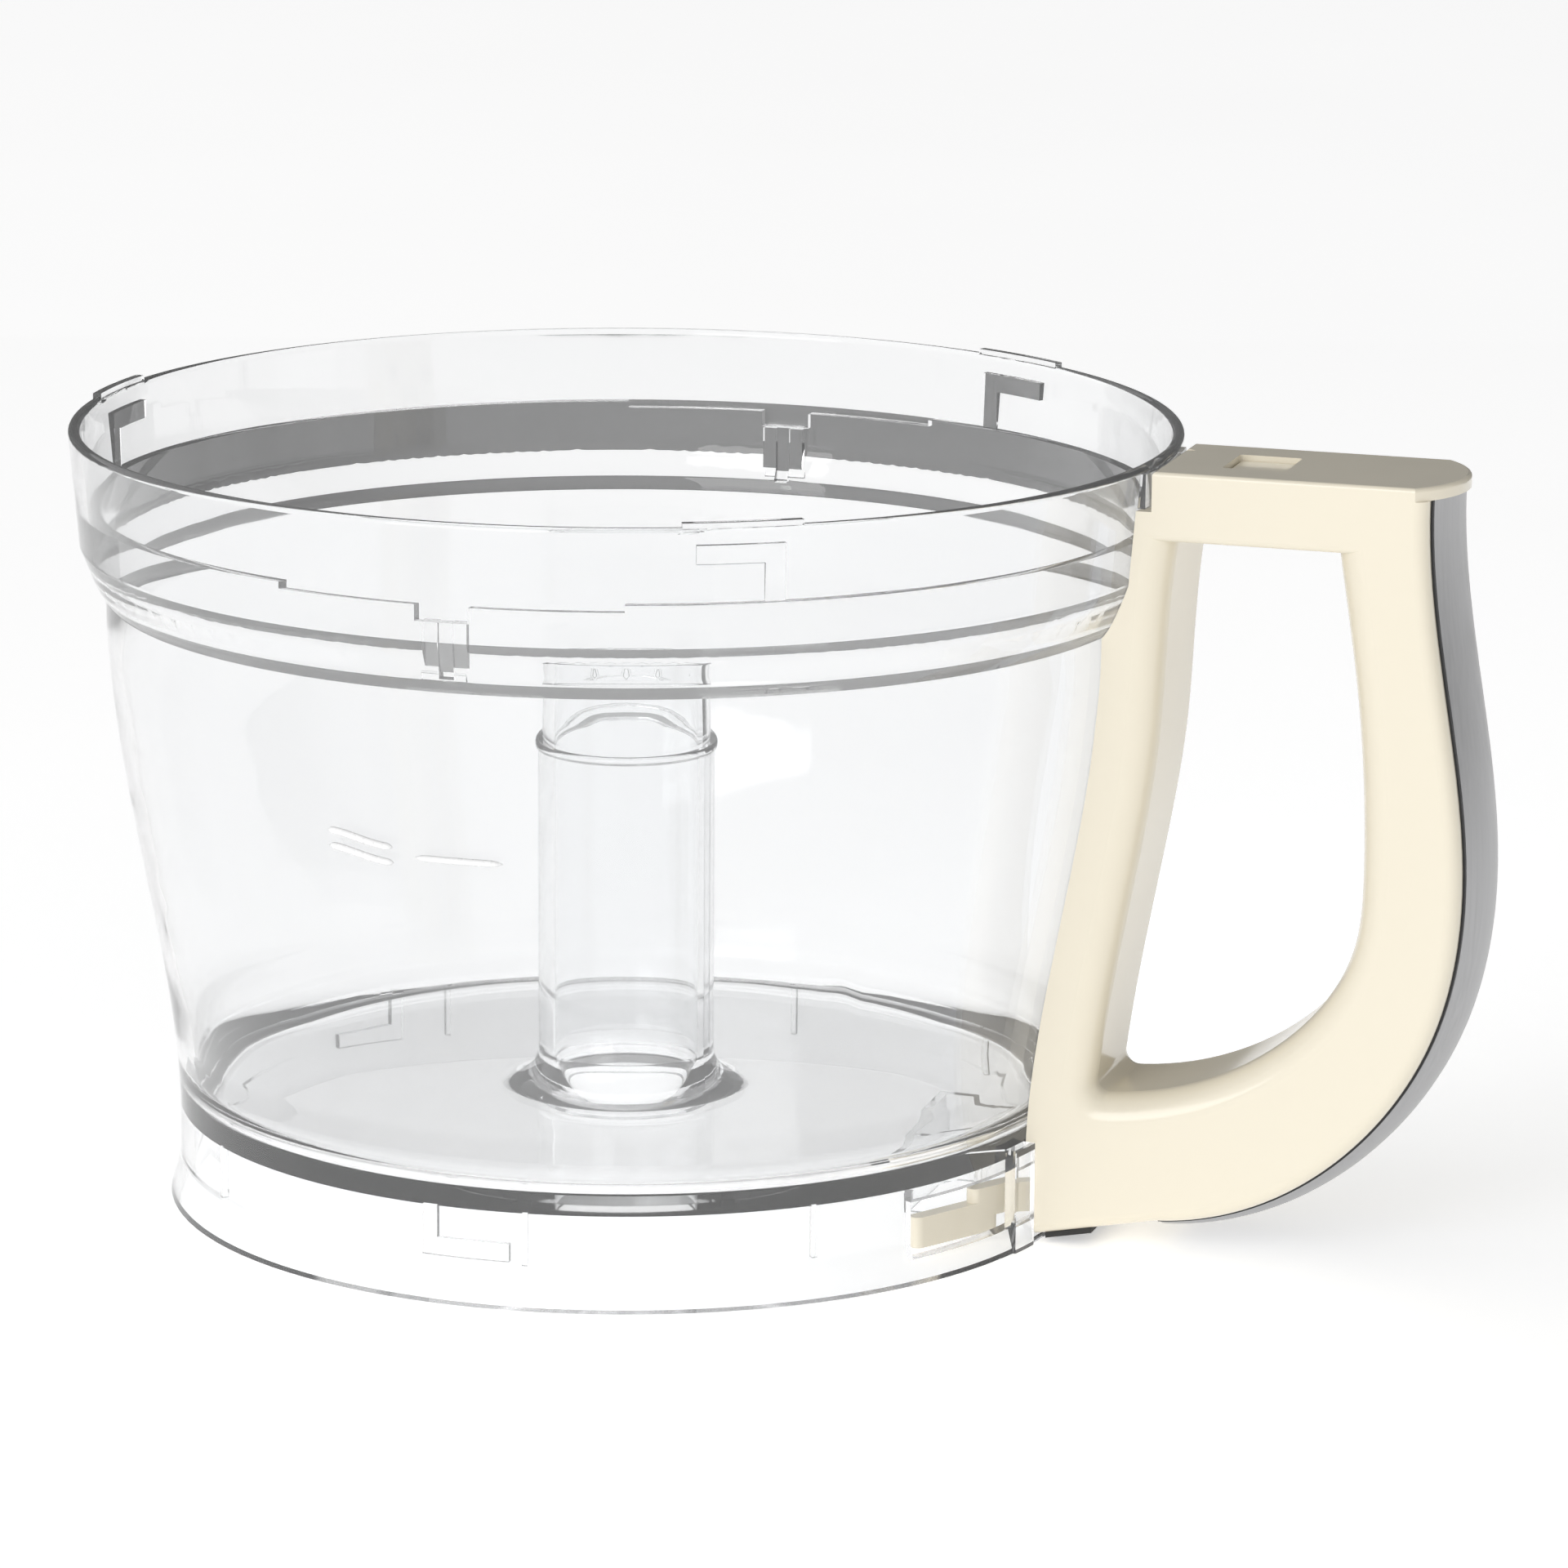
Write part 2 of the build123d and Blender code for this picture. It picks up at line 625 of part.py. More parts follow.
handle_shell.part.label = "handle_shell"
export_step(handle_shell.part, "parts/handle_shell.step")

# ---------------------------------------------------------------- top cover
cover_end = outer_line[0][0] + cover_overhang
with BuildPart() as top_cover:
    with BuildSketch(Plane.XY.offset(bar_top)):
        with BuildLine():
            ThreePointArc((cover_end - cover_bow, -handle_w / 2), (cover_end, 0),
                          (cover_end - cover_bow, handle_w / 2))
            Polyline((cover_end - cover_bow, handle_w / 2), (hook_x, handle_w / 2),
                     (hook_x, -handle_w / 2), (cover_end - cover_bow, -handle_w / 2))
        make_face()
    extrude(amount=cover_t)
    fillet(top_cover.faces().sort_by(Axis.Z)[-1].edges(), radius=edge_round)
    with BuildSketch(Plane.XY.offset(bar_top)):
        with Locations((slot_middle, 0)):
            RectangleRounded(slot_length, slot_w, edge_round)
    extrude(amount=cover_t, mode=Mode.SUBTRACT)
    with BuildSketch(Plane.XY.offset(cover_top - notch_h)):
        with BuildLine():
            Polyline((hook_x - notch_h, notch_y - notch_half), (hook_x + notch_w, notch_y),
                     (hook_x - notch_h, notch_y + notch_half), close=True)
        make_face()
    extrude(amount=notch_h, mode=Mode.SUBTRACT)
    for low_y in (-cavity_half, cavity_half - rail_t):
        add(box_between((rim_r + tongue_end + rail_h, low_y, bar_top - rail_h),
                        (bar_cavity_x + cavity_length, low_y + rail_t, bar_top)))

top_cover.part.label = "top_cover"
export_step(top_cover.part, "parts/top_cover.step")

# ---------------------------------------------------------------- trim carrier
with BuildPart() as trim_carrier:
    with BuildSketch(section_plane()):
        with BuildLine():
            crown = ThreePointArc((core_half, carrier_shoulder), (0, trim_crown - trim_t - groove_gap),
                                  (-core_half, carrier_shoulder))
            Polyline(crown @ 1, (-core_half, -carrier_seat), (-seat_half, -carrier_seat),
                     (-seat_half, carrier_rim), (-carrier_half, carrier_rim), (-carrier_half, -carrier_depth),
                     (carrier_half, -carrier_depth), (carrier_half, carrier_rim), (seat_half, carrier_rim),
                     (seat_half, -carrier_seat), (core_half, -carrier_seat), crown @ 0)
        make_face()
    sweep(path=outer_path())
    split(bisect_by=Plane.XY.offset(bar_top - cover_gap), keep=Keep.BOTTOM)
    for share in screw_shares:
        with BuildSketch(curve_plane(share, screw_head_base)):
            Circle(screw_head_r + groove_gap)
        extrude(amount=trim_crown, mode=Mode.SUBTRACT)
        with BuildSketch(curve_plane(share, -carrier_depth - groove_gap)):
            Circle(screw_r + groove_gap)
        extrude(amount=trim_crown, mode=Mode.SUBTRACT)

trim_carrier.part.label = "trim_carrier"
export_step(trim_carrier.part, "parts/trim_carrier.step")

# ---------------------------------------------------------------- grip trim
with BuildPart() as grip_trim:
    with BuildSketch(section_plane()):
        with BuildLine():
            outside = ThreePointArc((trim_half, trim_lift), (0, trim_crown), (-trim_half, trim_lift))
            inside = ThreePointArc((trim_half - trim_t, trim_lift - trim_t / 2), (0, trim_crown - trim_t),
                                   (trim_t - trim_half, trim_lift - trim_t / 2))
            Polyline(outside @ 1, (-trim_half, -trim_lip), (trim_t - trim_half, -trim_lip), inside @ 1)
            Polyline(outside @ 0, (trim_half, -trim_lip), (trim_half - trim_t, -trim_lip), inside @ 0)
        make_face()
    sweep(path=outer_path())
    split(bisect_by=Plane.XY.offset(bar_top - cover_gap), keep=Keep.BOTTOM)

grip_trim.part.label = "grip_trim"
export_step(grip_trim.part, "parts/grip_trim.step")

with BuildPart() as carrier_screws:
    for share in screw_shares:
        with BuildSketch(curve_plane(share, -carrier_depth - screw_length + edge_round)):
            Circle(screw_r)
        extrude(amount=screw_length + carrier_depth + screw_head_base - edge_round)
        with BuildSketch(curve_plane(share, screw_head_base)):
            Circle(screw_head_r)
        extrude(amount=screw_head_t)
        with BuildSketch(curve_plane(share, screw_head_base + screw_head_t - edge_round)):
            RegularPolygon(screw_r, 6)
        extrude(amount=edge_round, mode=Mode.SUBTRACT)

carrier_screws.part.label = "carrier_screws"
export_step(carrier_screws.part, "parts/carrier_screws.step")

# ---------------------------------------------------------------- plunger
plunger_z = bar_top - plunger_depth
with BuildPart() as plunger:
    with BuildSketch(Plane.XY.offset(plunger_z)):
        with Locations((slot_middle, 0)):
            RectangleRounded(slot_length - 2 * slot_gap, slot_w - 2 * slot_gap, edge_round)
    extrude(amount=cover_top - plunger_drop - plunger_z)
    fillet(plunger.faces().sort_by(Axis.Z)[-1].edges(), radius=edge_round / 2)
    with BuildSketch(Plane.XY.offset(bar_top - flange_gap - flange_t)):
        with Locations((slot_middle, 0)):
            RectangleRounded(slot_length + 2 * flange_w, slot_w + 2 * flange_w, edge_round)
    extrude(amount=flange_t)
    add(box_between((bar_cavity_x + guide_clear / 4, -arm_w / 2, plunger_z),
                    (slot_middle - slot_length / 4, arm_w / 2, plunger_z + arm_t)))

plunger.part.label = "plunger"
export_step(plunger.part, "parts/plunger.step")

# ---------------------------------------------------------------- push rod
rod_bottom_z = tip_z + tip_socket
rod_top_z = plunger_z - rod_top_gap
with BuildPart() as push_rod:
    with BuildSketch(rod_plane(rod_bottom_z)):
        Circle(rod_r)
    extrude(amount=(rod_top_z - rod_bottom_z) / cos(rod_angle))

push_rod.part.label = "push_rod"
export_step(push_rod.part, "parts/push_rod.step")

with BuildPart() as cam_tip:
    with BuildSketch(rod_plane(tip_z)):
        Circle(tip_r)
    with BuildSketch(rod_plane(tip_z + tip_h)):
        Circle(tip_r + tip_h * tip_slope)
    loft()
    with BuildSketch(rod_plane(rod_bottom_z)):
        Circle(rod_r)
    extrude(amount=2 * tip_h, mode=Mode.SUBTRACT)

cam_tip.part.label = "cam_tip"
export_step(cam_tip.part, "parts/cam_tip.step")

with BuildPart() as spring_collar:
    with BuildSketch(rod_plane(collar_z)):
        Circle(collar_r)
        Circle(rod_r, mode=Mode.SUBTRACT)
    extrude(amount=collar_t)

spring_collar.part.label = "spring_collar"
export_step(spring_collar.part, "parts/spring_collar.step")


def coil(plane, height, mean_r, wire_r, turns):
    """A coil of round wire that stands on a plane."""
    with BuildPart() as spring:
        with BuildLine() as turn_line:
            Helix(pitch=height / turns, height=height, radius=mean_r)
        with BuildSketch(Plane(origin=turn_line.line @ 0, z_dir=turn_line.line % 0)):
            Circle(wire_r)
        sweep(path=turn_line.line, is_frenet=True)
    return plane.location * spring.part


spring_bottom_z = foot_guide_z + guide_h + seal_lift + seal_t + 2 * spring_wire
with BuildPart() as rod_spring:
    add(coil(rod_plane(spring_bottom_z), (collar_z - spring_bottom_z) / cos(rod_angle) - 2 * spring_wire,
             spring_mean_r, spring_wire, spring_turns))

rod_spring.part.label = "rod_spring"
export_step(rod_spring.part, "parts/rod_spring.step")

# ---------------------------------------------------------------- guides and seal
with BuildPart() as upper_guide:
    add(box_between((bowl_radius(upper_guide_z + guide_h) + guide_clear, -strut_half, upper_guide_z),
                    (strut_front_x(upper_guide_z) - strut_wall, strut_half, upper_guide_z + guide_h)))
    with BuildSketch(rod_plane(upper_guide_z - guide_h)):
        Circle(rod_r + guide_gap)
    extrude(amount=3 * guide_h, mode=Mode.SUBTRACT)

upper_guide.part.label = "upper_guide"
export_step(upper_guide.part, "parts/upper_guide.step")

with BuildPart() as foot_guide:
    add(box_between((base_r + foot_guide_clear, foot_chamber_y[0], foot_guide_z),
                    (chamber_end_x, foot_chamber_y[1], foot_guide_z + guide_h)))
    with BuildSketch(rod_plane(foot_guide_z - guide_h)):
        Circle(rod_r + guide_gap)
    extrude(amount=3 * guide_h, mode=Mode.SUBTRACT)
    with BuildSketch(Plane.XY.offset(foot_guide_z)):
        with Locations(pivot):
            Circle(pin_r)
    extrude(amount=guide_h, mode=Mode.SUBTRACT)

foot_guide.part.label = "foot_guide"
export_step(foot_guide.part, "parts/foot_guide.step")

with BuildPart() as rod_seal:
    with BuildSketch(rod_plane(foot_guide_z + guide_h + seal_lift)):
        Circle(seal_r)
        Circle(rod_r + guide_gap, mode=Mode.SUBTRACT)
    extrude(amount=seal_t)

rod_seal.part.label = "rod_seal"
export_step(rod_seal.part, "parts/rod_seal.step")

# ---------------------------------------------------------------- foot lever
bend_place = (base_r + bend[0], bend[1])
blade_place = (base_r + blade_end[0], blade_end[1])
cam_pad_top = cam_pad_z + cam_pad_h
cam_pad_x = rod_x(cam_pad_top) + tip_r + (cam_pad_top - tip_z) * tip_slope + cam_pad_gap + cam_pad_r


def between(start, end, share):
    """A point part of the way from start to end."""
    return (start[0] + (end[0] - start[0]) * share, start[1] + (end[1] - start[1]) * share)


def bar(z, height, start, end, width):
    """A flat bar between two points, with round ends."""
    length = hypot(end[0] - start[0], end[1] - start[1])
    turn = degrees(atan2(end[1] - start[1], end[0] - start[0]))
    middle = between(start, end, 1 / 2)
    with BuildPart() as strip:
        with BuildSketch(Plane.XY.offset(z)):
            with Locations(Location((middle[0], middle[1], 0), (0, 0, turn))):
                SlotCenterToCenter(length, width)
        extrude(amount=height)
    return strip.part


with BuildPart() as foot_lever:
    with BuildSketch(Plane.XY.offset(arm_bottom)):
        with Locations(pivot):
            Circle(hub_r)
    extrude(amount=arm_top - arm_bottom)
    add(bar(arm_bottom, arm_top - arm_bottom, pivot, bend_place, lever_t))
    add(bar(arm_bottom, arm_top - arm_bottom, bend_place, between(blade_place, bend_place, step_share), lever_t))
    add(bar(blade_bottom, blade_top - blade_bottom, between(blade_place, bend_place, cut_share), blade_place,
            lever_t))
    add(bar(cam_pad_z, cam_pad_h, pivot, (cam_pad_x, 0), cam_pad_r))
    with BuildSketch(Plane.XY.offset(cam_pad_z)):
        with Locations((cam_pad_x, 0)):
            Circle(cam_pad_r)
    extrude(amount=cam_pad_h)
    with BuildSketch(Plane.XY.offset(arm_bottom)):
        with Locations(pivot):
            Circle(pin_r + pin_gap)
    extrude(amount=arm_top - arm_bottom, mode=Mode.SUBTRACT)

foot_lever.part.label = "foot_lever"
export_step(foot_lever.part, "parts/foot_lever.step")

with BuildPart() as lever_pin:
    with BuildSketch(Plane.XY.offset(pin_bottom)):
        with Locations(pivot):
            Circle(pin_r)
    extrude(amount=foot_guide_z + guide_h - pin_bottom)

lever_pin.part.label = "lever_pin"
export_step(lever_pin.part, "parts/lever_pin.step")

coil_bottom_z = arm_top + 2 * coil_wire
with BuildPart() as lever_spring:
    add(coil(Plane(origin=(pivot[0], pivot[1], coil_bottom_z)), foot_guide_z - coil_bottom_z - 2 * coil_wire,
             coil_mean_r, coil_wire, coil_turns))

lever_spring.part.label = "lever_spring"
export_step(lever_spring.part, "parts/lever_spring.step")

# ---------------------------------------------------------------- foot screw and foot pad
with BuildPart() as foot_screw:
    with BuildSketch(Plane.XY.offset(foot_screw_head_z)):
        with Locations(foot_screw_place):
            Circle(foot_screw_r)
    extrude(amount=foot_screw_length - edge_round)
    with BuildSketch(Plane.XY.offset(foot_screw_head_z - foot_screw_head_t)):
        with Locations(foot_screw_place):
            Circle(foot_screw_head_r)
    extrude(amount=foot_screw_head_t)
    with BuildSketch(Plane.XY.offset(foot_screw_head_z - foot_screw_head_t)):
        with Locations(foot_screw_place):
            RegularPolygon(foot_screw_r, 6)
    extrude(amount=edge_round, mode=Mode.SUBTRACT)

foot_screw.part.label = "foot_screw"
export_step(foot_screw.part, "parts/foot_screw.step")

with BuildPart() as foot_pad:
    pad_x = foot_x + foot_pad_inset / 4
    with BuildSketch(Plane.XZ):
        with BuildLine():
            Polyline((pad_x, foot_line_z(pad_x)), (pad_x + foot_pad_length, foot_line_z(pad_x + foot_pad_length)),
                     (pad_x + foot_pad_length, foot_line_z(pad_x + foot_pad_length) - foot_pad_t),
                     (pad_x, foot_line_z(pad_x) - foot_pad_t), close=True)
        make_face()
    extrude(amount=handle_w / 2 - foot_pad_inset, both=True)

foot_pad.part.label = "foot_pad"
export_step(foot_pad.part, "parts/foot_pad.step")
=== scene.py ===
import bpy
import bmesh
import math
from mathutils import Vector, Matrix


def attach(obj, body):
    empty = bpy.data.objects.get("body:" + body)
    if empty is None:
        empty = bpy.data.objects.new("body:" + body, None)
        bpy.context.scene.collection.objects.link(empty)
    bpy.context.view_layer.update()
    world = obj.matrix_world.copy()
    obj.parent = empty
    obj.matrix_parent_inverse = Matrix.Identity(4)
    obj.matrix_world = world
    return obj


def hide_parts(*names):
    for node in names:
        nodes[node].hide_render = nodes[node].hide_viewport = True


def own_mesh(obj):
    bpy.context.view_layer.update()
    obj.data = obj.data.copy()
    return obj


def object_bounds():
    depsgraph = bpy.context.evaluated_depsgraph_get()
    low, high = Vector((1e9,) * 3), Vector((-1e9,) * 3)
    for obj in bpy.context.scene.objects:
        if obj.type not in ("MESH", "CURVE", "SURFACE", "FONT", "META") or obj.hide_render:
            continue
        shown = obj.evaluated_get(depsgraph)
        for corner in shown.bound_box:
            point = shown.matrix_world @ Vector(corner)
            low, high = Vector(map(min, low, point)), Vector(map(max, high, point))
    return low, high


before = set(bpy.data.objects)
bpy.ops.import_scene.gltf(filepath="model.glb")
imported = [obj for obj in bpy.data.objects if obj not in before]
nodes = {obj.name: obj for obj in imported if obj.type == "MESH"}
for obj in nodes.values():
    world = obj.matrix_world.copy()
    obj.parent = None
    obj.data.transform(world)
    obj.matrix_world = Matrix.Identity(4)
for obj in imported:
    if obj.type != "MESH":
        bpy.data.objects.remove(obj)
cad_low, cad_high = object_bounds()

# ---------------------------------------------------------------- camera
HANDLE_TURN = math.radians(18.7)
YAW, PITCH, ROLL = 0.0220, 0.2303, 0.0067
VIEW_DISTANCE, VIEW_HEIGHT = 1.379341, 0.402799
LENS, SENSOR = 168.75, 36
LIGHT_BOUNCES = 24  # the clear walls need many

turn = Matrix.Rotation(HANDLE_TURN, 3, "Z")
look = Vector((math.sin(YAW) * math.cos(PITCH), math.cos(YAW) * math.cos(PITCH), -math.sin(PITCH)))
level_right = Vector((math.cos(YAW), -math.sin(YAW), 0))
level_up = level_right.cross(look)
right = math.cos(ROLL) * level_right + math.sin(ROLL) * level_up
up = math.cos(ROLL) * level_up - math.sin(ROLL) * level_right
right, up, look = turn @ right, turn @ up, turn @ look
place = turn @ Vector((0, -VIEW_DISTANCE, VIEW_HEIGHT))
camera_data = bpy.data.cameras.new("camera")
camera_data.lens = LENS
camera_data.sensor_width = SENSOR
camera = bpy.data.objects.new("camera", camera_data)
camera.matrix_world = Matrix((
    (right.x, up.x, -look.x, place.x),
    (right.y, up.y, -look.y, place.y),
    (right.z, up.z, -look.z, place.z),
    (0, 0, 0, 1),
))
bpy.context.scene.collection.objects.link(camera)
bpy.context.scene.camera = camera
bpy.context.scene.view_settings.view_transform = "Standard"
bpy.context.scene.cycles.max_bounces = LIGHT_BOUNCES
bpy.context.scene.cycles.transmission_bounces = LIGHT_BOUNCES


# ---------------------------------------------------------------- materials
NOISE_LOW, NOISE_HIGH = 0.25, 0.75  # the part of a noise that a ramp spreads out


def new_material(name, settings):
    """A material with one Principled shader; settings maps its sockets to values."""
    material = bpy.data.materials.new(name)
    material.use_nodes = True
    shader = material.node_tree.nodes["Principled BSDF"]
    for socket, value in settings.items():
        shader.inputs[socket].default_value = value
    return material, material.node_tree, shader


def noise(tree, scale, detail=3.0, stretch=(1, 1, 1)):
    """Noise in the object's own coordinates, with scale repeats in a metre."""
    coordinates = tree.nodes.new("ShaderNodeTexCoord")
    mapping = tree.nodes.new("ShaderNodeMapping")
    mapping.inputs["Scale"].default_value = stretch
    texture = tree.nodes.new("ShaderNodeTexNoise")
    texture.inputs["Scale"].default_value = scale
    texture.inputs["Detail"].default_value = detail
    tree.links.new(coordinates.outputs["Object"], mapping.inputs["Vector"])
    tree.links.new(mapping.outputs["Vector"], texture.inputs["Vector"])
    return texture.outputs["Fac"]


def spread(tree, factor, low, high):
    """Turns a factor into a value between low and high."""
    ramp = tree.nodes.new("ShaderNodeMapRange")
    ramp.interpolation_type = "SMOOTHERSTEP"
    ramp.inputs["From Min"].default_value = NOISE_LOW
    ramp.inputs["From Max"].default_value = NOISE_HIGH
    ramp.inputs["To Min"].default_value = low
    ramp.inputs["To Max"].default_value = high
    tree.links.new(factor, ramp.inputs["Value"])
    return ramp.outputs["Result"]


def tint(tree, factor, first, second):
    """A colour that wanders between two colours."""
    ramp = tree.nodes.new("ShaderNodeValToRGB")
    ramp.color_ramp.interpolation = "EASE"
    ramp.color_ramp.elements[0].position = NOISE_LOW
    ramp.color_ramp.elements[0].color = (*first, 1)
    ramp.color_ramp.elements[1].position = NOISE_HIGH
    ramp.color_ramp.elements[1].color = (*second, 1)
    tree.links.new(factor, ramp.inputs["Fac"])
    return ramp.outputs["Color"]


def bump(tree, shader, height, strength, distance):
    """Raises the surface by a height field."""
    node = tree.nodes.new("ShaderNodeBump")
    node.inputs["Strength"].default_value = strength
    node.inputs["Distance"].default_value = distance
    tree.links.new(height, node.inputs["Height"])
    tree.links.new(node.outputs["Normal"], shader.inputs["Normal"])


def moulded(name, first, second, roughness, grain, coat=0.0):
    """Moulded plastic: colour that wanders a little, uneven gloss, a fine grain and perhaps a gloss coat."""
    material, tree, shader = new_material(name, {"IOR": 1.49, "Coat Weight": coat, "Coat Roughness": 0.1})
    tree.links.new(tint(tree, noise(tree, 9, 1), first, second), shader.inputs["Base Color"])
    tree.links.new(spread(tree, noise(tree, 40, 1), roughness - 0.02, roughness + 0.03),
                   shader.inputs["Roughness"])
    bump(tree, shader, noise(tree, 500, 1), grain, 0.000003)
    return material


cream = moulded("cream_plastic", (0.8, 0.738, 0.6), (0.812, 0.752, 0.616), 0.24, 0.15, 0.5)
white = moulded("white_plastic", (0.76, 0.75, 0.71), (0.8, 0.79, 0.76), 0.42, 0.3)
black = moulded("black_plastic", (0.012, 0.012, 0.013), (0.02, 0.02, 0.021), 0.45, 0.5)
rubber = moulded("black_rubber", (0.016, 0.016, 0.016), (0.03, 0.03, 0.029), 0.7, 0.9)

clear, clear_tree, clear_shader = new_material("clear_plastic", {
    "Base Color": (0.962, 0.966, 0.97, 1),
    "Transmission Weight": 0.965,
    "IOR": 1.49,
})
clear_tree.links.new(spread(clear_tree, noise(clear_tree, 35), 0.0, 0.03), clear_shader.inputs["Roughness"])
bump(clear_tree, clear_shader, noise(clear_tree, 18, 1), 0.12, 0.0004)

metal, metal_tree, metal_shader = new_material("satin_metal", {"Metallic": 1.0})
brushed = noise(metal_tree, 900, 4, (1, 1, 0.02))
metal_tree.links.new(tint(metal_tree, brushed, (0.4, 0.4, 0.405), (0.47, 0.47, 0.475)),
                     metal_shader.inputs["Base Color"])
metal_tree.links.new(spread(metal_tree, brushed, 0.3, 0.42), metal_shader.inputs["Roughness"])
bump(metal_tree, metal_shader, brushed, 0.15, 0.00002)

steel, steel_tree, steel_shader = new_material("steel", {"Metallic": 1.0})
drawn = noise(steel_tree, 1600, 3, (1, 1, 0.05))
steel_tree.links.new(tint(steel_tree, drawn, (0.5, 0.5, 0.51), (0.62, 0.62, 0.63)),
                     steel_shader.inputs["Base Color"])
steel_tree.links.new(spread(steel_tree, drawn, 0.2, 0.32), steel_shader.inputs["Roughness"])
bump(steel_tree, steel_shader, drawn, 0.12, 0.00001)

FINISH = {
    "work_bowl": clear, "handle_shell": cream, "top_cover": cream, "plunger": cream, "foot_lever": cream,
    "grip_trim": metal, "trim_carrier": black, "foot_pad": rubber, "rod_seal": rubber,
    "push_rod": steel, "rod_spring": steel, "lever_pin": steel, "lever_spring": steel,
    "carrier_screws": steel, "foot_screw": steel,
    "cam_tip": white, "spring_collar": white, "upper_guide": white, "foot_guide": white,
}
for name, material in FINISH.items():
    for mesh_slot in nodes[name].material_slots:
        mesh_slot.material = material

bowl = nodes["work_bowl"]
bowl.visible_shadow = False

bpy.context.view_layer.update()
spring = bpy.data.objects.new("rod_spring_coil", nodes["rod_spring"].data.copy())
spring.matrix_world = nodes["rod_spring"].matrix_world
bpy.context.scene.collection.objects.link(spring)
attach(spring, "bowl")
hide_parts("rod_spring")
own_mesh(spring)

# ---------------------------------------------------------------- level mark on the wall
BEAD_POINTS = 9  # points round a bead's half circle
BEAD_SINK = 0.00006  # how far a bead goes into the wall


def on_wall(angle, height):
    """The point on the bowl's outside at an angle in degrees and a height, and the way out."""
    outward = Vector((math.cos(math.radians(angle)), math.sin(math.radians(angle)), 0))
    _, point, normal, _ = bowl.ray_cast(Vector((0, 0, height)) + outward * 0.2, -outward)
    return point, normal


def raised_line(name, path, width, depth):
    """A rounded bead that follows a path of (angle, height) on the wall."""
    mesh = bmesh.new()
    rings = []
    places = [on_wall(angle, height) for angle, height in path]
    for index, (point, normal) in enumerate(places):
        before = places[max(index - 1, 0)][0]
        after = places[min(index + 1, len(places) - 1)][0]
        along = (after - before).normalized()
        across = normal.cross(along).normalized()
        end = min(index, len(places) - 1 - index)
        size = math.sin(min(end / 2, 1) * math.pi / 2) * 0.9 + 0.1
        ring = []
        for step in range(BEAD_POINTS):
            angle = math.pi * step / (BEAD_POINTS - 1)
            ring.append(mesh.verts.new(point + across * math.cos(angle) * width / 2 * size
                                       + normal * (math.sin(angle) * depth * size - BEAD_SINK)))
        rings.append(ring)
    for first, second in zip(rings, rings[1:]):
        for step in range(BEAD_POINTS):
            following = (step + 1) % BEAD_POINTS
            mesh.faces.new((first[step], first[following], second[following], second[step]))
    mesh.faces.new(rings[0])
    mesh.faces.new(list(reversed(rings[-1])))
    bmesh.ops.recalc_face_normals(mesh, faces=mesh.faces)
    data = bpy.data.meshes.new(name)
    mesh.to_mesh(data)
    mesh.free()
    for polygon in data.polygons:
        polygon.use_smooth = True
    piece = bpy.data.objects.new(name, data)
    bpy.context.scene.collection.objects.link(piece)
    piece.data.materials.append(frosted)
    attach(piece, "bowl")
    return piece


frosted, frosted_tree, frosted_shader = new_material("frosted_mark", {"Transmission Weight": 0.1, "IOR": 1.49})
frosted_tree.links.new(tint(frosted_tree, noise(frosted_tree, 120), (0.9, 0.9, 0.9), (0.96, 0.96, 0.96)),
                       frosted_shader.inputs["Base Color"])
frosted_tree.links.new(spread(frosted_tree, noise(frosted_tree, 400), 0.2, 0.35),
                       frosted_shader.inputs["Roughness"])
bump(frosted_tree, frosted_shader, noise(frosted_tree, 1500, 2), 0.3, 0.00003)

LEVEL_Z = 0.0872
for number, rise in enumerate((0.0016, -0.0014)):
    wave = []
    for step in range(25):
        share = step / 24
        wave.append((-105.2 + 8.0 * share, LEVEL_Z + rise + 0.0009 * math.cos(share * math.pi)))
    raised_line(f"level_wave_{number + 1}", wave, 0.0014, 0.0007)
level_path = [(-94.6 + 10.0 * step / 16, LEVEL_Z - 0.0008) for step in range(17)]
raised_line("level_line", level_path, 0.0013, 0.0007)

# ---------------------------------------------------------------- floor and light
floor_mesh = bpy.data.meshes.new("floor")
FLOOR_HALF = 30
floor_corners = [(x * FLOOR_HALF, y * FLOOR_HALF, 0) for x, y in ((-1, -1), (1, -1), (1, 1), (-1, 1))]
floor_mesh.from_pydata(floor_corners, [], [(0, 1, 2, 3)])
floor = bpy.data.objects.new("floor", floor_mesh)
floor.location.z = cad_low.z - 0.0002
floor_material, floor_tree, floor_shader = new_material("pale_floor", {
    "Roughness": 0.6, "Emission Color": (1, 1, 1, 1), "Emission Strength": 0.45})
floor_tree.links.new(tint(floor_tree, noise(floor_tree, 3), (0.94, 0.94, 0.94), (0.96, 0.96, 0.96)),
                     floor_shader.inputs["Base Color"])
floor_mesh.materials.append(floor_material)
bpy.context.scene.collection.objects.link(floor)

world = bpy.data.worlds.new("studio")
world.use_nodes = True
bpy.context.scene.world = world
world_tree = world.node_tree


def world_math(operation, first, second):
    """One sum on two sockets or numbers."""
    node = world_tree.nodes.new("ShaderNodeMath")
    node.operation = operation
    for index, value in enumerate((first, second)):
        if isinstance(value, (int, float)):
            node.inputs[index].default_value = value
        else:
            world_tree.links.new(value, node.inputs[index])
    return node.outputs[0]


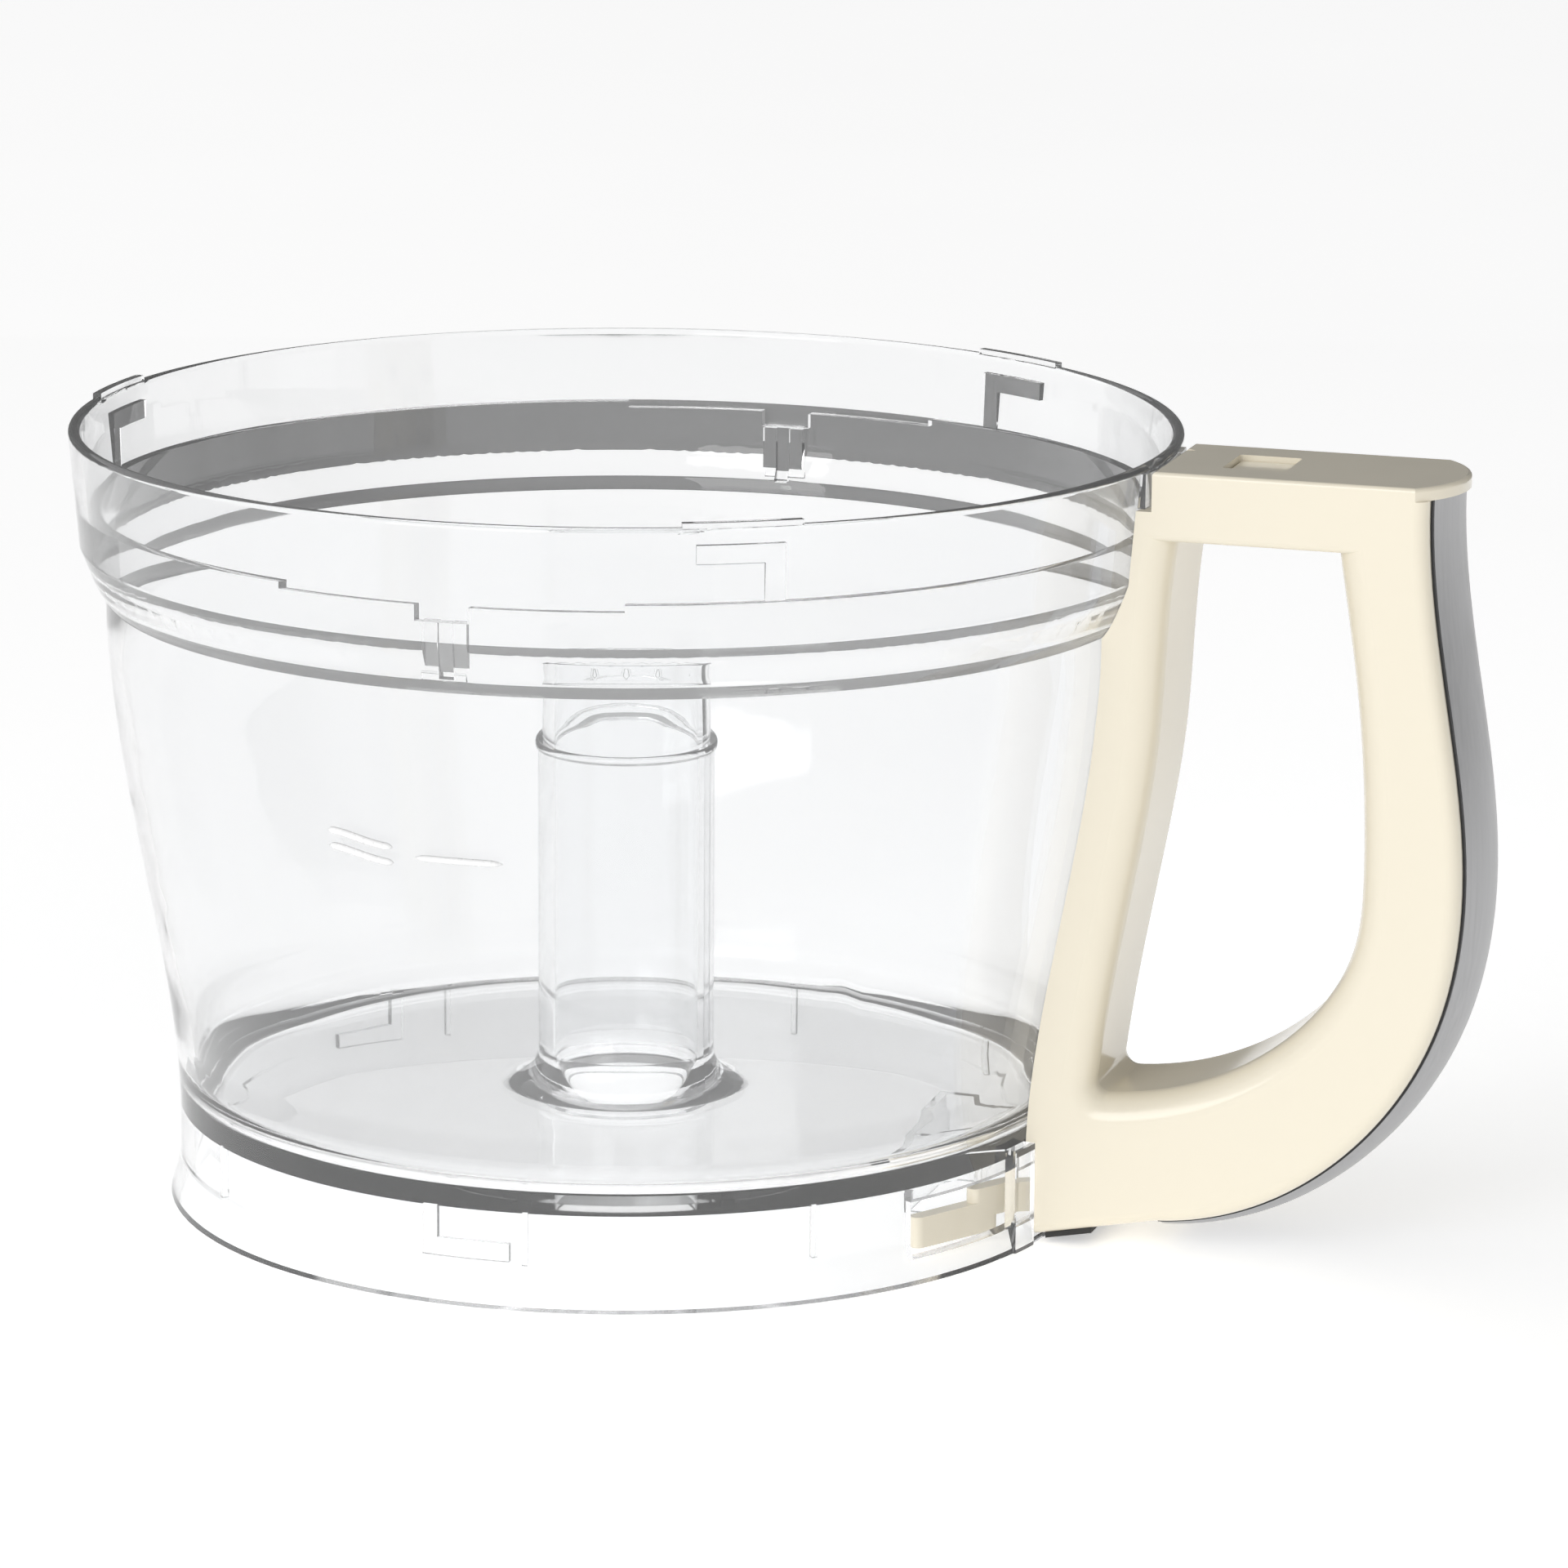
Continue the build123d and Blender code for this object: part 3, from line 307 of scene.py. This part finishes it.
def world_ramp(value, points):
    """A grey that follows (position, brightness) points."""
    node = world_tree.nodes.new("ShaderNodeValToRGB")
    ramp = node.color_ramp
    ramp.interpolation = "EASE"
    while len(ramp.elements) < len(points):
        ramp.elements.new(0.5)
    for element, (position, level) in zip(ramp.elements, points):
        element.position = position
        element.color = (level, level, level, 1)
    world_tree.links.new(value, node.inputs["Fac"])
    return node.outputs["Color"]


direction = world_tree.nodes.new("ShaderNodeTexCoord")
split = world_tree.nodes.new("ShaderNodeSeparateXYZ")
world_tree.links.new(direction.outputs["Generated"], split.inputs[0])
aside = turn @ Vector((0.8, 0.6, 0))
towards_side = world_math("ADD", world_math("MULTIPLY", split.outputs["X"], aside.x),
                          world_math("MULTIPLY", split.outputs["Y"], aside.y))
height = world_ramp(split.outputs["Z"], ((0.0, 1.0), (0.35, 1.0), (0.9, 0.55)))
around = world_ramp(world_math("ADD", world_math("MULTIPLY", towards_side, 0.5), 0.5),
                    ((0.35, 1.0), (0.9, 0.2)))
world_tree.links.new(height, world_tree.nodes["Background"].inputs["Color"])
world_tree.links.new(around, world_tree.nodes["Background"].inputs["Strength"])

# a dark card behind the object, seen only through the clear parts, gives them their grey bands
card_mesh = bpy.data.meshes.new("flag")
CARD_HALF, CARD_BACK, CARD_HEIGHT = 1.2, 0.97, 0.5
card_corners = [(x * CARD_HALF, CARD_BACK, z * CARD_HEIGHT) for x, z in ((-1, 0), (1, 0), (1, 1), (-1, 1))]
card_mesh.from_pydata(card_corners, [], [(0, 1, 2, 3)])
card = bpy.data.objects.new("flag", card_mesh)
card.rotation_euler.z = HANDLE_TURN
card.visible_camera = False
card.visible_diffuse = False
card.visible_shadow = False
card_material, card_tree, card_shader = new_material("grey_card", {"Roughness": 0.9})
card_tree.links.new(tint(card_tree, noise(card_tree, 5), (0.13, 0.13, 0.13), (0.17, 0.17, 0.17)),
                    card_shader.inputs["Base Color"])
card_mesh.materials.append(card_material)
bpy.context.scene.collection.objects.link(card)


LIGHT_TARGET = Vector((0.03, 0, 0.08))


def panel(name, position, width, height, power):
    """A soft box that looks at the middle of the object."""
    data = bpy.data.lights.new(name, "AREA")
    data.shape = "RECTANGLE"
    data.size, data.size_y = width, height
    data.energy = power
    light = bpy.data.objects.new(name, data)
    light.location = position
    aim = LIGHT_TARGET - Vector(position)
    light.rotation_mode = "QUATERNION"
    light.rotation_quaternion = aim.to_track_quat("-Z", "Y")
    bpy.context.scene.collection.objects.link(light)


panel("key", turn @ Vector((-1.1, -1.7, 0.9)), 1.2, 1.2, 13)
panel("side", turn @ Vector((1.6, 0.3, 0.8)), 0.4, 1.4, 0.6)
